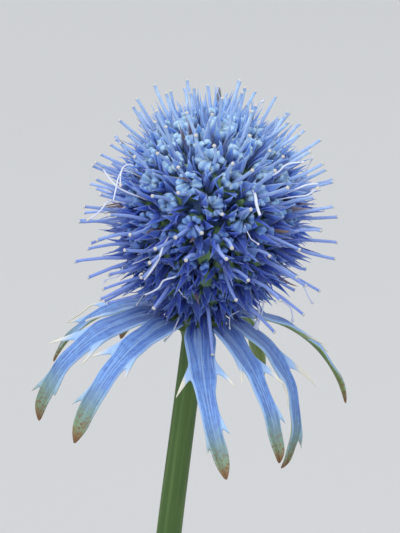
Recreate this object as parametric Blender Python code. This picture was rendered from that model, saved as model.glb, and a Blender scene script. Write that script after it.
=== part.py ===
"""Sea holly in a bottle: one spiny blue flower head on a bare stem, in water in a small glass bottle.

Metres, +Z up. The origin is the middle of the bottle's foot. The stem stands on the bottle's floor, rests
against the rim of the neck and so leans towards +X. The flower head and its ruff of bracts are modelled
upright in the stem's own frame, with the stem's axis as Z and the top of the stem as the origin.
"""

import math
import random

import bmesh
import bpy
from mathutils import Matrix, Vector

MM = 0.001
GAP = 0.3 * MM  # between pieces that touch on the real thing

# Bottle: plain clear glass with a rolled lip
BOTTLE_SIDES = 32
BODY_RADIUS = 18 * MM
BODY_TOP = 38 * MM
FOOT_ROUNDING = 3 * MM
SHOULDER_RADIUS = 10 * MM
NECK_RADIUS = 7.5 * MM
NECK_FILLET = 5 * MM
WALL = 1.8 * MM
FLOOR = 3.5 * MM
INNER_ROUNDING = 4 * MM
LIP_BULGE = 1.8 * MM
LIP_BAND = 1.6 * MM
LIP_CENTRE = 68 * MM

# Water, filled to just below the shoulder
WATER_LEVEL = 35 * MM

# Stem: it leans on the rim of the neck, at the height where the lip begins to turn outwards
STEM_LEAN = math.radians(6.5)
STEM_SIDES = 16
STEM_TOP = 112 * MM
STEM_TOP_RADIUS = 1.2 * MM
STEM_FOOT_RADIUS = 1.4 * MM
COLLAR_RADIUS = 3 * MM
COLLAR_HEIGHT = 1.2 * MM
COLLAR_FLARE = 4 * MM

# Flower head: florets stand in golden-angle spirals on an egg-shaped core
HEAD_CENTRE = 9.4 * MM
CORE_RADIUS = 5.8 * MM
CORE_HALF_HEIGHT = 7.3 * MM
CORE_SIDES = 16
FLORETS = 92
LOWEST_SINE = -0.93
DOWNWARD_SHARE = 0.3  # florets below the middle dip by this share of their latitude
GOLDEN_ANGLE = math.pi * (3 - math.sqrt(5))
ROOT_DEPTH = 1 * MM  # how far each floret is sunk in the core
SEPALS = 5
SEPAL_REACH = 1.5 * MM
SEPAL_HEIGHT = 3.5 * MM
CUP_ROOT_RADIUS = 0.6 * MM
CUP_NOTCH_RADIUS = 0.95 * MM
CUP_NOTCH_HEIGHT = 2.3 * MM
PETAL_DOME = 3 * MM
SPINE_FOOT = 1.25 * MM
SPINE_TIP = 2.1 * MM
SPINE_LENGTH = 4.4 * MM
SPINE_HALF_WIDTH = 0.5 * MM
SPINE_HALF_DEPTH = 0.3 * MM
STYLE_FOOT = 1.8 * MM
STYLE_LENGTH = 5 * MM
STYLE_RADIUS = 0.25 * MM
STYLE_APART = 0.4 * MM
STYLE_SPREAD = math.radians(8)
SEED = 12

# Bracts: leathery straps with pairs of spiny teeth, drooping from the collar in a ruff.
# Azimuths and droops are in degrees, at the root and at the tip: azimuth 0 is towards -Y and 90 towards +X.
# Then the length and the width in mm, and the teeth as (share of the length, side, length in mm). Side 1 is
# the anticlockwise one.
BRACTS = (
    ("bract_front", (5, 23), (31, 33), 18.6, 2.8,
     ((0.34, 1, 2.6), (0.37, -1, 3.0), (0.69, 1, 1.1), (0.81, -1, 1.0))),
    ("bract_front_right", (43, 32), (19, 65), 15.9, 2.5,
     ((0.41, 1, 2.4), (0.38, -1, 2.2), (0.74, 1, 0.8))),
    ("bract_right", (83, 71), (17, 112), 18.3, 2.4,
     ((0.43, 1, 3.4), (0.46, -1, 2.8), (0.81, 1, 1.3))),
    ("bract_back_right", (117, 106), (-2, 71), 19.2, 2.3,
     ((0.62, 1, 2.4), (0.48, -1, 2.2), (0.88, 1, 0.9))),
    ("bract_back", (156, 135), (0, 88), 19.0, 2.5,
     ((0.40, 1, 2.4), (0.45, -1, 2.4), (0.76, 1, 1.0))),
    ("bract_back_left", (199, 212), (2, 62), 17.5, 2.5,
     ((0.42, 1, 2.4), (0.46, -1, 2.4), (0.78, -1, 1.0))),
    ("bract_left_behind", (241, 246), (3, 70), 16.0, 2.4,
     ((0.50, -1, 1.9), (0.70, -1, 1.9), (0.45, 1, 1.8))),
    ("bract_left", (281, 286), (5, 86), 17.9, 2.6,
     ((0.50, -1, 2.6), (0.44, 1, 2.4), (0.81, -1, 1.0), (0.76, 1, 0.8))),
    ("bract_front_left", (320, 328), (2, 64), 18.3, 2.8,
     ((0.44, -1, 2.2), (0.50, 1, 1.8), (0.76, -1, 1.0))),
)
# The outline of every bract: its width, as a share of the widest, at shares of its length
BRACT_OUTLINE = ((0, 0.64), (0.1, 1.06), (0.22, 1), (0.36, 1), (0.46, 0.8), (0.65, 0.7), (0.85, 0.6), (1, 0.1))
BRACT_STATIONS = 16
BRACT_THICKNESS = 0.7 * MM
BRACT_CHANNEL = 0.3 * MM  # how far the rib lies below the two edges
TOOTH_SWEEP = math.radians(35)


def clear_scene():
    for obj in list(bpy.data.objects):
        bpy.data.objects.remove(obj)


def material(name, colour, roughness, transmission=0):
    made = bpy.data.materials.new(name)
    made.use_nodes = True
    shader = made.node_tree.nodes["Principled BSDF"]
    shader.inputs["Base Color"].default_value = (*colour, 1)
    shader.inputs["Roughness"].default_value = roughness
    shader.inputs["Transmission Weight"].default_value = transmission
    return made


def placed(name, mesh, finish=None, matrix=None):
    """A new object in the scene with this mesh, and with its material and place if they are given."""
    obj = bpy.data.objects.new(name, mesh)
    bpy.context.scene.collection.objects.link(obj)
    if finish:
        mesh.materials.append(finish)
    if matrix:
        obj.matrix_world = matrix
    return obj


def closed_mesh(name, points, faces):
    mesh = bpy.data.meshes.new(name)
    mesh.from_pydata(points, [], faces)
    return mesh


def arc(centre, radius, start, stop, steps):
    """Points of a circular arc in the (radius, height) plane, from one angle to another in degrees."""
    angles = [math.radians(start + (stop - start) * k / steps) for k in range(steps + 1)]
    return [(centre[0] + radius * math.cos(a), centre[1] + radius * math.sin(a)) for a in angles]


def turned(name, profile, sides):
    """A solid of revolution. The profile runs up the outside, and starts and ends on the axis."""
    build = bmesh.new()
    angles = [math.tau * (k + 0.5) / sides for k in range(sides)]
    rings = []
    for radius, height in profile:
        around = angles if radius else [0]
        rings.append([build.verts.new((radius * math.cos(a), radius * math.sin(a), height)) for a in around])
    for low, high in zip(rings, rings[1:]):
        for k in range(sides):
            after = (k + 1) % sides
            corners = [low[k % len(low)], low[after % len(low)], high[after % len(high)], high[k % len(high)]]
            build.faces.new(dict.fromkeys(corners))
    mesh = bpy.data.meshes.new(name)
    build.to_mesh(mesh)
    build.free()
    mesh.shade_smooth()
    mesh.set_sharp_from_angle(angle=math.radians(40))
    return mesh


def shoulder(shoulder_radius, fillet_radius):
    """The S of the shoulder, from the body up to the neck: a round that meets the neck's fillet smoothly."""
    low = (BODY_RADIUS - SHOULDER_RADIUS, BODY_TOP)
    across = NECK_RADIUS + NECK_FILLET - low[0]
    rise = math.sqrt((SHOULDER_RADIUS + NECK_FILLET) ** 2 - across**2)
    high = (low[0] + across, low[1] + rise)
    meeting = math.degrees(math.atan2(rise, across))
    return arc(low, shoulder_radius, 0, meeting, 5) + arc(high, fillet_radius, 180 + meeting, 180, 4)[1:]


def make_bottle():
    outside = [(0, 0)]
    outside += arc((BODY_RADIUS - FOOT_ROUNDING, FOOT_ROUNDING), FOOT_ROUNDING, -90, 0, 3)
    outside += shoulder(SHOULDER_RADIUS, NECK_FILLET)
    outside += arc((NECK_RADIUS, LIP_CENTRE - LIP_BAND), LIP_BULGE, -90, 0, 3)
    outside += arc((NECK_RADIUS, LIP_CENTRE), LIP_BULGE, 0, 180, 6)
    inside = [(0, FLOOR)]
    inside += arc((BODY_RADIUS - WALL - INNER_ROUNDING, FLOOR + INNER_ROUNDING), INNER_ROUNDING, -90, 0, 3)
    inside += shoulder(SHOULDER_RADIUS - WALL, NECK_FILLET + WALL)
    glass = material("clear_glass", (0.85, 0.9, 0.88), 0.05, transmission=1)
    return placed("bottle", turned("bottle", outside + inside[::-1], BOTTLE_SIDES), glass)


def stem_frame():
    """The leaning frame whose origin is the top of the stem and whose Z is the stem's axis."""
    touch_x = NECK_RADIUS - WALL - STEM_FOOT_RADIUS / math.cos(STEM_LEAN) - GAP
    top_x = touch_x + (STEM_TOP - LIP_CENTRE) * math.tan(STEM_LEAN)
    return Matrix.Translation((top_x, 0, STEM_TOP)) @ Matrix.Rotation(STEM_LEAN, 4, "Y")


def make_stem(frame):
    """The bare stalk, with the collar at its top that carries the bracts and the head."""
    foot_height = FLOOR + GAP + STEM_FOOT_RADIUS * math.sin(STEM_LEAN)
    foot = -(STEM_TOP - foot_height) / math.cos(STEM_LEAN)
    rim = -(STEM_TOP - LIP_CENTRE) / math.cos(STEM_LEAN)
    collar_low = -GAP - COLLAR_HEIGHT
    profile = [(0, foot), (STEM_FOOT_RADIUS, foot), (STEM_FOOT_RADIUS, rim)]
    profile += [(STEM_TOP_RADIUS, collar_low - COLLAR_FLARE)]
    profile += arc((COLLAR_RADIUS, collar_low - 2 * MM), COLLAR_RADIUS - STEM_TOP_RADIUS, 180, 90, 4)
    profile += [(COLLAR_RADIUS, collar_low), (COLLAR_RADIUS, -GAP), (0, -GAP)]
    green = material("stem_green", (0.16, 0.27, 0.08), 0.55)
    return placed("stem", turned("stem", profile, STEM_SIDES), green, frame)


def make_water(frame):
    """The water up to its level, with a plain hole that the stem stands in."""
    radius = BODY_RADIUS - WALL - GAP
    rounding = INNER_ROUNDING - GAP
    profile = [(0, FLOOR + GAP)] + arc((radius - rounding, FLOOR + GAP + rounding), rounding, -90, 0, 3)
    profile += [(radius, WATER_LEVEL), (0, WATER_LEVEL)]
    clear = material("water", (0.9, 0.95, 0.95), 0.02, transmission=1)
    water = placed("water", turned("water", profile, BOTTLE_SIDES), clear)
    hole_radius = STEM_FOOT_RADIUS + GAP
    bore = [(0, -STEM_TOP), (hole_radius, -STEM_TOP), (hole_radius, 0), (0, 0)]
    cutter = placed("stem_hole", turned("stem_hole", bore, STEM_SIDES), matrix=frame)
    cutter.hide_render = True
    cutter.display_type = "WIRE"
    cut = water.modifiers.new("stem_hole", "BOOLEAN")
    cut.operation = "DIFFERENCE"
    cut.object = cutter
    return water


def cup_mesh():
    """One floret's cup: five pointed sepals round a low dome of petals, with the root sunk in the core."""
    turn = math.tau / SEPALS
    spots = [(CUP_ROOT_RADIUS, turn * (k + 0.5), -ROOT_DEPTH) for k in range(SEPALS)]
    spots += [(SEPAL_REACH, turn * (k + 0.5), SEPAL_HEIGHT) for k in range(SEPALS)]
    spots += [(CUP_NOTCH_RADIUS, turn * k, CUP_NOTCH_HEIGHT) for k in range(SEPALS)]
    points = [(r * math.cos(a), r * math.sin(a), z) for r, a, z in spots] + [(0, 0, PETAL_DOME)]
    tip, notch, dome = SEPALS, 2 * SEPALS, 3 * SEPALS
    faces = [tuple(reversed(range(SEPALS)))]
    for k in range(SEPALS):
        after = (k + 1) % SEPALS
        faces += [(k, tip + k, notch + k), (k, notch + after, tip + k), (k, after, notch + after)]
        faces += [(tip + k, dome, notch + k), (notch + after, dome, tip + k)]
    return closed_mesh("cup", points, faces)


def spine_mesh():
    """The narrow blue scale behind a floret: a stiff spike with a diamond foot, leaning out past the cup."""
    foot = -ROOT_DEPTH
    points = [(SPINE_FOOT + SPINE_HALF_DEPTH, 0, foot), (SPINE_FOOT, SPINE_HALF_WIDTH, foot)]
    points += [(SPINE_FOOT - SPINE_HALF_DEPTH, 0, foot), (SPINE_FOOT, -SPINE_HALF_WIDTH, foot)]
    points += [(SPINE_TIP, 0, SPINE_LENGTH)]
    return closed_mesh("spine", points, [(3, 2, 1, 0)] + [(k, (k + 1) % 4, 4) for k in range(4)])


def style_mesh():
    """One long style that stands far out of the floret: a slim three-sided rod."""
    points = []
    for height in (0, STYLE_LENGTH):
        angles = [math.tau * k / 3 for k in range(3)]
        points += [(STYLE_RADIUS * math.cos(a), STYLE_RADIUS * math.sin(a), height) for a in angles]
    return closed_mesh("style", points, [(2, 1, 0), (3, 4, 5), (0, 1, 4, 3), (1, 2, 5, 4), (2, 0, 3, 5)])


def floret_places():
    """Each floret's frame in the head: Z along its axis and X towards the bottom of the head."""
    for k in range(FLORETS):
        sine = 1 - (1 - LOWEST_SINE) * (k + 0.5) / FLORETS
        latitude = math.asin(sine)
        azimuth = k * GOLDEN_ANGLE
        out = Vector((math.cos(azimuth), math.sin(azimuth), 0))
        root = out * CORE_RADIUS * math.cos(latitude)
        root.z = HEAD_CENTRE + CORE_HALF_HEIGHT * sine
        tilt = latitude * (DOWNWARD_SHARE if latitude < 0 else 1)
        axis = out * math.cos(tilt) + Vector((0, 0, math.sin(tilt)))
        down = out * math.sin(tilt) - Vector((0, 0, math.cos(tilt)))
        turn = Matrix((down, axis.cross(down), axis)).transposed().to_4x4()
        yield Matrix.Translation(root) @ turn


def core_mesh():
    """The egg-shaped core of ovaries, with a short foot that stands on the stem's collar."""
    lowest = math.degrees(math.asin(LOWEST_SINE))
    egg = arc((0, 0), 1, lowest, 90, 8)[:-1]
    profile = [(0, 0), (COLLAR_RADIUS, 0)]
    profile += [(CORE_RADIUS * across, HEAD_CENTRE + CORE_HALF_HEIGHT * up) for across, up in egg]
    profile.append((0, HEAD_CENTRE + CORE_HALF_HEIGHT))
    return turned("head", profile, CORE_SIDES)


def fuse(obj, pieces):
    """Joins the pieces to the object in one closed body, and removes them."""
    joined = obj.modifiers.new("joined", "BOOLEAN")
    joined.operand_type = "COLLECTION"
    joined.operation = "UNION"
    joined.collection = pieces
    bpy.context.view_layer.update()
    whole = bpy.data.meshes.new_from_object(obj.evaluated_get(bpy.context.evaluated_depsgraph_get()))
    obj.modifiers.clear()
    obj.data = whole
    for piece in list(pieces.objects):
        bpy.data.objects.remove(piece)
    bpy.data.collections.remove(pieces)


def make_head(frame):
    """The flower head in one body: the core, and every floret's cup, spine and pair of styles fused to it."""
    blue = material("floret_blue", (0.12, 0.2, 0.62), 0.5)
    head = placed("head", core_mesh(), blue, frame)
    pieces = bpy.data.collections.new("floret_pieces")
    bpy.context.scene.collection.children.link(pieces)
    cup, spine, style = cup_mesh(), spine_mesh(), style_mesh()
    chance = random.Random(SEED)
    for place in floret_places():
        stand = frame @ place @ Matrix.Scale(chance.uniform(0.93, 1.07), 4)
        twist = Matrix.Rotation(math.radians(chance.uniform(-9, 9)), 4, "Z")
        parts = [(cup, stand @ twist), (spine, stand)]
        pair_turn = Matrix.Rotation(chance.uniform(0, math.tau), 4, "Z")
        for side in (-1, 1):
            apart = Matrix.Translation((side * STYLE_APART, 0, STYLE_FOOT))
            lean = Matrix.Rotation(side * STYLE_SPREAD * chance.uniform(0.4, 1.6), 4, "Y")
            stretch = Matrix.Scale(chance.uniform(0.86, 1.04), 4, (0, 0, 1))
            parts.append((style, stand @ pair_turn @ apart @ lean @ stretch))
        for mesh, matrix in parts:
            piece = bpy.data.objects.new("floret_piece", mesh)
            piece.matrix_world = matrix
            pieces.objects.link(piece)
    fuse(head, pieces)
    return head


def outline_width(share):
    """How wide a bract is at this share of its length, read between the outline's points."""
    for (start, low), (stop, high) in zip(BRACT_OUTLINE, BRACT_OUTLINE[1:]):
        if share <= stop:
            return low + (high - low) * (share - start) / (stop - start)
    return BRACT_OUTLINE[-1][1]


def bract_stations(azimuths, droops, length):
    """Frames along a bract's rib: share of the length, place, and the ways along, across and up from it."""
    spot = None
    for k in range(BRACT_STATIONS + 1):
        share = k / BRACT_STATIONS
        azimuth = math.radians(azimuths[0] + (azimuths[1] - azimuths[0]) * share)
        droop = math.radians(droops[0] + (droops[1] - droops[0]) * share)
        out = Vector((math.sin(azimuth), -math.cos(azimuth), 0))
        along = out * math.cos(droop) - Vector((0, 0, math.sin(droop)))
        across = Vector((0, 0, 1)).cross(out)
        if spot is None:
            inset = GAP + BRACT_THICKNESS / 2 * abs(math.sin(droop))
            spot = out * (COLLAR_RADIUS + inset) - Vector((0, 0, GAP + COLLAR_HEIGHT / 2))
        yield share, spot.copy(), along, across, along.cross(across)
        spot += along * length / BRACT_STATIONS


def make_bract(frame, finish, name, azimuths, droops, length, width, teeth):
    """A channelled strap with spiny teeth. It is laid out as a sheet of triangles and then thickened."""
    build = bmesh.new()
    stations = list(bract_stations(azimuths, droops, length * MM))
    rows = []
    for share, spot, along, across, up in stations:
        half = width * MM / 2 * outline_width(share)
        channel = BRACT_CHANNEL * outline_width(share)
        offsets = (-half * across, -channel * up, half * across)
        rows.append([build.verts.new(spot + offset) for offset in offsets])
    for low, high in zip(rows, rows[1:]):
        for k in range(2):
            build.faces.new((low[k], low[k + 1], high[k + 1]))
            build.faces.new((low[k], high[k + 1], high[k]))
    for share, side, tooth_length in teeth:
        k = round(share * BRACT_STATIONS)
        edge = 0 if side < 0 else 2
        root, after = rows[k - 1][edge], rows[k][edge]
        _, _, along, across, _ = stations[k]
        reach = along * math.cos(TOOTH_SWEEP) + across * side * math.sin(TOOTH_SWEEP)
        point = build.verts.new(after.co + reach * tooth_length * MM)
        build.faces.new((root, after, point) if side < 0 else (after, root, point))
    bmesh.ops.recalc_face_normals(build, faces=build.faces)
    mesh = bpy.data.meshes.new(name)
    build.to_mesh(mesh)
    build.free()
    bract = placed(name, mesh, finish, frame)
    thicken = bract.modifiers.new("thickness", "SOLIDIFY")
    thicken.thickness = BRACT_THICKNESS
    thicken.offset = 0
    return bract


def main():
    clear_scene()
    frame = stem_frame()
    make_bottle()
    make_water(frame)
    make_stem(frame)
    make_head(frame)
    leathery = material("bract_blue", (0.2, 0.32, 0.66), 0.5)
    for row in BRACTS:
        make_bract(frame, leathery, *row)


main()
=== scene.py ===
"""Sea holly in a bottle: a spiny blue flower head on a bare stem, in water in a small glass bottle."""

import math
import random

import bmesh
import bpy
from mathutils import Matrix, Vector


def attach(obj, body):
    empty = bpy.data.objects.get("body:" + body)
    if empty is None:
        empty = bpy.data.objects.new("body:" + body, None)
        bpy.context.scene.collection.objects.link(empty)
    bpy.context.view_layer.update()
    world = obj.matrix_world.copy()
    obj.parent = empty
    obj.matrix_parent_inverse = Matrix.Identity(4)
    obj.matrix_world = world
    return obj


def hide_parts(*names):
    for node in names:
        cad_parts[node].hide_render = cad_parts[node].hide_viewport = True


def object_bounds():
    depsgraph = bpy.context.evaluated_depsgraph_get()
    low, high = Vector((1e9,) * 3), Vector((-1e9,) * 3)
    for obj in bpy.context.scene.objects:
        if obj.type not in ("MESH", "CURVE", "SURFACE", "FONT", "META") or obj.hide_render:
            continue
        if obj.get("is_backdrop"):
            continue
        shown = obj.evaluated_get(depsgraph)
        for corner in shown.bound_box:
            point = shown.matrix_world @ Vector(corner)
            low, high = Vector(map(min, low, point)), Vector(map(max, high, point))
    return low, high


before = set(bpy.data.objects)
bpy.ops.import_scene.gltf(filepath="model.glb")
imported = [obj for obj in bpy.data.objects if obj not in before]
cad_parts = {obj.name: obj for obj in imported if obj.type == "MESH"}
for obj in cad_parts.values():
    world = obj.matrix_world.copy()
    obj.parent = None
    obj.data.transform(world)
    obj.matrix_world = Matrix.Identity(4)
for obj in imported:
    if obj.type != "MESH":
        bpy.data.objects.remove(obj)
packed_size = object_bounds()

MM = 0.001

# Bottle. A small bottle of clear pressed glass, 70 mm tall, with a rolled lip and a foot that is pushed in a
# little, so that it stands on a ring. It is turned up ring by ring, outside first, then down the inside.
BODY_RADIUS = 18
BODY_TOP = 38
FOOT_ROUNDING = 3
SHOULDER_RADIUS = 10
NECK_RADIUS = 7.5
NECK_FILLET = 5
WALL = 1.8
FLOOR = 3.5
INNER_ROUNDING = 4
LIP_BULGE = 1.8
LIP_BAND = 1.6
LIP_CENTRE = 68
FIRST_RING = 0.5
PUNT = ((FIRST_RING, 0.7), (9, 0.7), (13, 0.3), (14.2, 0))  # the pushed-in foot
GLASS_SIDES = 96
ROUNDING_STEPS = 8
SHOULDER_STEPS = 14
LIP_STEPS = 18
SHARP_EDGE = math.radians(50)


def start_fresh():
    """Leaves edit mode and selects nothing."""
    if bpy.context.mode != "OBJECT":
        bpy.ops.object.mode_set(mode="OBJECT")
    bpy.ops.object.select_all(action="DESELECT")


def arc(centre, radius, start, stop, steps):
    """Points of a circular arc in the (radius, height) plane, from one angle to another in degrees."""
    angles = [math.radians(start + (stop - start) * k / steps) for k in range(steps + 1)]
    return [(centre[0] + radius * math.cos(a), centre[1] + radius * math.sin(a)) for a in angles]


def draw_rings(name, rings, sides, shape_section=None):
    """A closed form drawn up through rings in millimetres, each (half depth in X, half width in Y, height).

    Where its section isn't an oval, shape_section shapes the first ring, and the others follow it.
    """
    start_fresh()
    deep, wide, height = rings[0]
    low = (0, 0, height * MM)
    bpy.ops.mesh.primitive_circle_add(vertices=sides, radius=MM, fill_type="NGON", location=low)
    piece = bpy.context.object
    piece.name = name
    bpy.ops.object.transform_apply(location=True, rotation=False, scale=False)
    bpy.ops.object.mode_set(mode="EDIT")
    bpy.ops.transform.resize(value=(deep, wide, 1), center_override=low)
    if shape_section:
        shape_section()
        bpy.ops.mesh.select_all(action="SELECT")
    for next_deep, next_wide, next_height in rings[1:]:
        rise = (0, 0, (next_height - height) * MM)
        bpy.ops.mesh.extrude_region_move(TRANSFORM_OT_translate={"value": rise})
        taper = (next_deep / deep, next_wide / wide, 1)
        bpy.ops.transform.resize(value=taper, center_override=(0, 0, next_height * MM))
        deep, wide, height = next_deep, next_wide, next_height
    bpy.ops.mesh.select_all(action="SELECT")
    bpy.ops.mesh.normals_make_consistent(inside=False)
    bpy.ops.object.mode_set(mode="OBJECT")
    return piece


def turn_up(name, profile, sides):
    """A closed turned form, from the (radius, height) points of its profile."""
    piece = draw_rings(name, [(radius, radius, height) for radius, height in profile], sides)
    bpy.ops.object.shade_smooth_by_angle(angle=SHARP_EDGE)
    return piece


def shoulder(shoulder_radius, fillet_radius):
    """The S of the shoulder, from the body up to the neck."""
    low = (BODY_RADIUS - SHOULDER_RADIUS, BODY_TOP)
    across = NECK_RADIUS + NECK_FILLET - low[0]
    rise = math.sqrt((SHOULDER_RADIUS + NECK_FILLET) ** 2 - across**2)
    high = (low[0] + across, low[1] + rise)
    meeting = math.degrees(math.atan2(rise, across))
    lower = arc(low, shoulder_radius, 0, meeting, SHOULDER_STEPS)
    return lower + arc(high, fillet_radius, 180 + meeting, 180, SHOULDER_STEPS)[1:]


def rounding(wall_radius, floor, radius):
    """The rounded corner between a floor and the wall around it."""
    return arc((wall_radius - radius, floor + radius), radius, -90, 0, ROUNDING_STEPS)


outside = [*PUNT, *rounding(BODY_RADIUS, 0, FOOT_ROUNDING), *shoulder(SHOULDER_RADIUS, NECK_FILLET)]
outside += arc((NECK_RADIUS, LIP_CENTRE - LIP_BAND), LIP_BULGE, -82, 0, ROUNDING_STEPS)
outside += arc((NECK_RADIUS, LIP_CENTRE), LIP_BULGE, 0, 180, LIP_STEPS)
inside = [(FIRST_RING, FLOOR), *rounding(BODY_RADIUS - WALL, FLOOR, INNER_ROUNDING)]
inside += shoulder(SHOULDER_RADIUS - WALL, NECK_FILLET + WALL)
bottle = turn_up("glass_bottle", outside + inside[::-1], GLASS_SIDES)


def srgb(red, green, blue):
    """A colour as it is seen, in steps of 255, as the shader wants it."""
    seen = [c / 255 for c in (red, green, blue)]
    return [c / 12.92 if c <= 0.04045 else ((c + 0.055) / 1.055) ** 2.4 for c in seen] + [1]


def add_node(tree, kind, inputs=None, **settings):
    """A node with its settings, and its inputs as plain values or as other nodes' outputs."""
    made = tree.nodes.new("ShaderNode" + kind)
    for name, value in settings.items():
        setattr(made, name, value)
    for name, value in (inputs or {}).items():
        if isinstance(value, bpy.types.NodeSocket):
            tree.links.new(value, made.inputs[name])
        else:
            made.inputs[name].default_value = value
    return made


def object_place(tree):
    return add_node(tree, "TexCoord").outputs["Object"]


def noise(tree, place, scale, detail, distortion=0.0):
    """The output of a noise at the place that another node gives out."""
    inputs = {"Vector": place, "Scale": scale, "Detail": detail, "Distortion": distortion}
    return add_node(tree, "TexNoise", inputs).outputs["Fac"]


def new_material(name):
    made = bpy.data.materials.new(name)
    made.use_nodes = True
    made.node_tree.nodes.clear()
    return made, made.node_tree


def close_material(made, tree, surface):
    tree.links.new(surface.outputs[0], add_node(tree, "OutputMaterial").inputs["Surface"])
    return made


def clear_finish(name, tint, ior, ripple, ripple_size, straight_rays):
    """Clear glass or water with a faint ripple in its surface. Some rays pass straight through, tinted.

    Shadow rays let the lamps' light in. Reflected rays would else be caught in the thick lip, and blacken it.
    """
    made, tree = new_material(name)
    waves = noise(tree, object_place(tree), 1 / ripple_size, 1.0)
    bump = add_node(tree, "Bump", {"Height": waves, "Strength": 1.0, "Distance": ripple})
    surface = add_node(tree, "BsdfPrincipled", {
        "Base Color": tint, "Roughness": 0.02, "IOR": ior, "Transmission Weight": 1.0,
        "Normal": bump.outputs["Normal"],
    })
    path = add_node(tree, "LightPath")
    for kind, shade in straight_rays:
        through = add_node(tree, "BsdfTransparent", {"Color": shade})
        surface = add_node(tree, "MixShader", {
            "Fac": path.outputs[kind], 1: surface.outputs[0], 2: through.outputs[0],
        })
    return close_material(made, tree, surface)


GLASS_TINT = srgb(249, 253, 252)
GLASS_EDGE = srgb(206, 220, 216)
GLASS_IOR = 1.5
bottle.data.materials.append(clear_finish("clear_glass", GLASS_TINT, GLASS_IOR, 0.02 * MM, 9 * MM, (
    ("Is Reflection Ray", GLASS_EDGE), ("Is Shadow Ray", GLASS_TINT),
)))
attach(bottle, "root")
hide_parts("bottle")

# Water. It fills the bottle to just below the shoulder, wets the glass and creeps up it at the edge. Its skin
# lies a hair inside the glass, so that no air shows between the two.
WATER_LEVEL = 35
CREEP_HEIGHT = 0.9
CREEP_WIDTH = 3
CREEP_STEPS = 10
WETTED = 0.04
WATER_TINT = srgb(250, 254, 253)
WATER_IOR = 1.33

water_radius = BODY_RADIUS - WALL + WETTED
water_profile = [(FIRST_RING, FLOOR - WETTED), *rounding(water_radius, FLOOR - WETTED, INNER_ROUNDING)]
for step in range(CREEP_STEPS + 1):
    creep = CREEP_HEIGHT * math.exp(-step / 2)
    water_profile.append((water_radius - CREEP_WIDTH * step / CREEP_STEPS, WATER_LEVEL + creep))
water_profile += [(8, WATER_LEVEL), (FIRST_RING, WATER_LEVEL)]
water = turn_up("still_water", water_profile, GLASS_SIDES)
water.data.materials.append(clear_finish("clear_water", WATER_TINT, WATER_IOR, 0.004 * MM, 12 * MM, (
    ("Is Shadow Ray", WATER_TINT),
)))
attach(water, "root")
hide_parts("water")

# Stem. A bare, ribbed green stalk, cut off level at the foot. It leans on the rim of the neck, and flares at
# its top into the collar that carries the ruff and the head. All above it shares its leaning frame.
STEM_LEAN = math.radians(6.5)
STEM_TOP = 112
STEM_TOP_RADIUS = 1.2
STEM_FOOT_RADIUS = 1.4
STEM_STEPS = 12
TAPER_TOP = -6
TAPER_STEPS = 8
STEM_RIBS = 13
RIB_DEPTH = 0.025
STEM_WANDER = 0.15
COLLAR_RADIUS = 3
COLLAR_LOW = 1.5
GAP = 0.3
STEM_GREEN = srgb(72, 100, 50)
STEM_DARK = srgb(61, 87, 41)
STEM_STREAK = srgb(90, 117, 65)
CUT_END = srgb(170, 182, 134)

touch_x = NECK_RADIUS - WALL - STEM_FOOT_RADIUS / math.cos(STEM_LEAN) - GAP
top_x = touch_x + (STEM_TOP - LIP_CENTRE) * math.tan(STEM_LEAN)
stem_frame = Matrix.Translation((top_x * MM, 0, STEM_TOP * MM)) @ Matrix.Rotation(STEM_LEAN, 4, "Y")
foot = -(STEM_TOP - FLOOR - GAP - STEM_FOOT_RADIUS * math.sin(STEM_LEAN)) / math.cos(STEM_LEAN)
rim = -(STEM_TOP - LIP_CENTRE) / math.cos(STEM_LEAN)
stem_profile = [(0.3, foot + 0.15), (STEM_FOOT_RADIUS * 0.9, foot), (STEM_FOOT_RADIUS, foot + 0.15)]
for step in range(1, STEM_STEPS + 1):
    stem_profile.append((STEM_FOOT_RADIUS, foot + (rim - foot) * step / STEM_STEPS))
for step in range(1, TAPER_STEPS + 1):
    risen = step / TAPER_STEPS
    radius = STEM_FOOT_RADIUS + (STEM_TOP_RADIUS - STEM_FOOT_RADIUS) * risen
    stem_profile.append((radius, rim + (TAPER_TOP - rim) * risen))
flare = COLLAR_RADIUS - STEM_TOP_RADIUS
stem_profile += arc((COLLAR_RADIUS, -COLLAR_LOW - 2), flare, 180, 90, ROUNDING_STEPS)
stem_profile += [(COLLAR_RADIUS * 0.98, -0.5), (COLLAR_RADIUS * 0.9, -GAP), (0.3, -GAP)]
stem = turn_up("ribbed_stem", stem_profile, 4 * STEM_RIBS)
for vertex in stem.data.vertices:
    azimuth = math.atan2(vertex.co.y, vertex.co.x)
    wander = STEM_WANDER * MM * math.sin(vertex.co.z / (17 * MM)) * min(1, -vertex.co.z / (20 * MM))
    groove = 1 - RIB_DEPTH * (0.5 - 0.5 * math.cos(STEM_RIBS * azimuth))
    vertex.co.x = vertex.co.x * groove + wander
    vertex.co.y = vertex.co.y * groove
stem.data.transform(stem_frame)


def mixed_colour(tree, share, first, second, blend="MIX"):
    """The output of a mix of two colours, by the share of the second."""
    inputs = {0: share, 6: first, 7: second}
    return add_node(tree, "Mix", inputs, data_type="RGBA", blend_type=blend).outputs[2]


def ramp(tree, value, start, stop, low=0.0, high=1.0):
    """The output that goes from low to high while the value goes from start to stop."""
    inputs = {"Value": value, "From Min": start, "From Max": stop, "To Min": low, "To Max": high}
    return add_node(tree, "MapRange", inputs).outputs[0]


def maths(tree, operation, *values):
    return add_node(tree, "Math", dict(enumerate(values)), operation=operation).outputs[0]


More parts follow.
